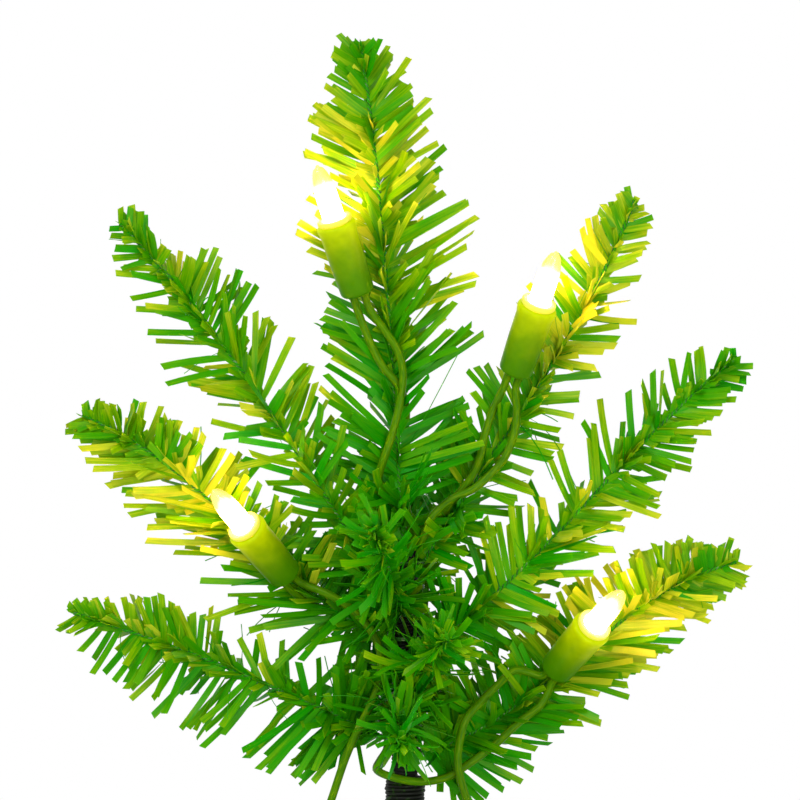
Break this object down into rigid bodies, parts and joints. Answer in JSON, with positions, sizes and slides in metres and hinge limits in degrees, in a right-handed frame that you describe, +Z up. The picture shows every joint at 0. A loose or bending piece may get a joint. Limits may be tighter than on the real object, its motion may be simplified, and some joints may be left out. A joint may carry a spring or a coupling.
{
  "type": "pre-lit artificial christmas tree",
  "caption": "Small tabletop artificial tree of film needles on twisted-wire twigs, with plug-in mini lamps on a wire string and a round battery base.",
  "frame": {"origin": "middle of the footprint on the floor, under the trunk", "axes": "+Z up along the trunk, -Y towards the side the picture shows, +X to the right seen from there"},
  "size_m": [0.1945, 0.11, 0.3076],
  "materials": {
    "needle_film": "satin translucent film strips",
    "cord_jacket": "semi-gloss cord jacket",
    "husk_plastic": "translucent moulded green",
    "plug_plastic": "translucent moulded yellow-green",
    "bulb_glass": "clear glass",
    "brass": "rolled strip",
    "filament_steel": "drawn wire",
    "cell_label": "plain wrapped cell",
    "ballast_iron": "as cast",
    "stem_tape": "ridged binding over bundled wires",
    "black_rubber": "moulded",
    "base_plastic": "fine moulded texture"
  },
  "bodies": {
    "tree": {"base_housing": "base_plastic", "base_plate": "base_plastic", "foot_ring": "black_rubber", "battery_tray": "base_plastic", "ballast_ring": "ballast_iron", "cell_1": "cell_label", "cell_2": "cell_label", "cell_3": "cell_label", "contact_plate_front": "brass", "contact_plate_back": "brass", "switch_body": "base_plastic", "grommet_left": "black_rubber", "grommet_right": "black_rubber", "trunk_core": "stem_tape", "trunk_winding": "stem_tape", "leader_twig": "needle_film", "husk_top": "husk_plastic", "contact_a_top": "brass", "contact_b_top": "brass", "lead_wire_left": "cord_jacket", "wire_left_to_top": "cord_jacket", "wire_top_to_right": "cord_jacket", "wire_right_to_trunk": "cord_jacket", "wire_trunk_to_low": "cord_jacket", "lead_wire_right": "cord_jacket"},
    "battery_door": {"battery_door": "base_plastic"},
    "switch_slider": {"switch_slider": "base_plastic"},
    "twig_right_low": {"twig_right_low": "needle_film", "husk_low": "husk_plastic", "contact_a_low": "brass", "contact_b_low": "brass"},
    "twig_left_low": {"twig_left_low": "needle_film"},
    "twig_back_low": {"twig_back_low": "needle_film"},
    "twig_front_low": {"twig_front_low": "needle_film"},
    "twig_front_middle": {"twig_front_middle": "needle_film"},
    "twig_back_middle": {"twig_back_middle": "needle_film"},
    "twig_right_middle": {"twig_right_middle": "needle_film"},
    "twig_left_middle": {"twig_left_middle": "needle_film", "husk_left": "husk_plastic", "contact_a_left": "brass", "contact_b_left": "brass"},
    "twig_front_high": {"twig_front_high": "needle_film"},
    "twig_back_high": {"twig_back_high": "needle_film"},
    "twig_left_high": {"twig_left_high": "needle_film"},
    "twig_right_high": {"twig_right_high": "needle_film", "husk_right": "husk_plastic", "contact_a_right": "brass", "contact_b_right": "brass"},
    "lamp_top": {"lamp_base_top": "plug_plastic", "bulb_top": "bulb_glass", "filament_top": "filament_steel"},
    "lamp_right": {"lamp_base_right": "plug_plastic", "bulb_right": "bulb_glass", "filament_right": "filament_steel"},
    "lamp_left": {"lamp_base_left": "plug_plastic", "bulb_left": "bulb_glass", "filament_left": "filament_steel"},
    "lamp_low": {"lamp_base_low": "plug_plastic", "bulb_low": "bulb_glass", "filament_low": "filament_steel"}
  },
  "joints": [
    {"name": "swing_right_low", "type": "hinge", "parent": "tree", "child": "twig_right_low", "pos_m": [0, 0, 0.109], "axis": [0, 0, 1], "range_deg": [-25, 25], "deforming": ["wire_trunk_to_low", "lead_wire_right"]},
    {"name": "swing_left_low", "type": "hinge", "parent": "tree", "child": "twig_left_low", "pos_m": [0, 0, 0.1125], "axis": [0, 0, 1], "range_deg": [-25, 25]},
    {"name": "swing_back_low", "type": "hinge", "parent": "tree", "child": "twig_back_low", "pos_m": [0, 0, 0.116], "axis": [0, 0, 1], "range_deg": [-20, 20]},
    {"name": "swing_front_low", "type": "hinge", "parent": "tree", "child": "twig_front_low", "pos_m": [0, 0, 0.1195], "axis": [0, 0, 1], "range_deg": [-20, 20]},
    {"name": "swing_front_middle", "type": "hinge", "parent": "tree", "child": "twig_front_middle", "pos_m": [0, 0, 0.13], "axis": [0, 0, 1], "range_deg": [-20, 20]},
    {"name": "swing_back_middle", "type": "hinge", "parent": "tree", "child": "twig_back_middle", "pos_m": [0, 0, 0.1335], "axis": [0, 0, 1], "range_deg": [-20, 20]},
    {"name": "swing_right_middle", "type": "hinge", "parent": "tree", "child": "twig_right_middle", "pos_m": [0, 0, 0.137], "axis": [0, 0, 1], "range_deg": [-25, 25]},
    {"name": "swing_left_middle", "type": "hinge", "parent": "tree", "child": "twig_left_middle", "pos_m": [0, 0, 0.1405], "axis": [0, 0, 1], "range_deg": [-25, 25], "deforming": ["lead_wire_left", "wire_left_to_top"]},
    {"name": "swing_front_high", "type": "hinge", "parent": "tree", "child": "twig_front_high", "pos_m": [0, 0, 0.1475], "axis": [0, 0, 1], "range_deg": [-20, 20]},
    {"name": "swing_back_high", "type": "hinge", "parent": "tree", "child": "twig_back_high", "pos_m": [0, 0, 0.151], "axis": [0, 0, 1], "range_deg": [-20, 20]},
    {"name": "swing_left_high", "type": "hinge", "parent": "tree", "child": "twig_left_high", "pos_m": [0, 0, 0.1545], "axis": [0, 0, 1], "range_deg": [-25, 25]},
    {"name": "swing_right_high", "type": "hinge", "parent": "tree", "child": "twig_right_high", "pos_m": [0, 0, 0.1615], "axis": [0, 0, 1], "range_deg": [-25, 25], "deforming": ["wire_top_to_right", "wire_right_to_trunk"]},
    {"name": "plug_top", "type": "slide", "parent": "tree", "child": "lamp_top", "axis": [-0.2923, -0.2756, 0.9158], "range_m": [0, 0.014]},
    {"name": "plug_right", "type": "slide", "parent": "twig_right_high", "child": "lamp_right", "axis": [0.2823, -0.4067, 0.8688], "range_m": [0, 0.014]},
    {"name": "plug_left", "type": "slide", "parent": "twig_left_middle", "child": "lamp_left", "axis": [-0.5021, -0.5736, 0.6473], "range_m": [0, 0.014]},
    {"name": "plug_low", "type": "slide", "parent": "twig_right_low", "child": "lamp_low", "axis": [0.4503, -0.6428, 0.6197], "range_m": [0, 0.014]},
    {"name": "battery_door_hinge", "type": "hinge", "parent": "tree", "child": "battery_door", "pos_m": [0, -0.02755, 0.002], "axis": [-1, 0, 0], "range_deg": [0, 100]},
    {"name": "switch_slide", "type": "slide", "parent": "tree", "child": "switch_slider", "axis": [-1, 0, 0], "range_m": [0, 0.0035]}
  ]
}
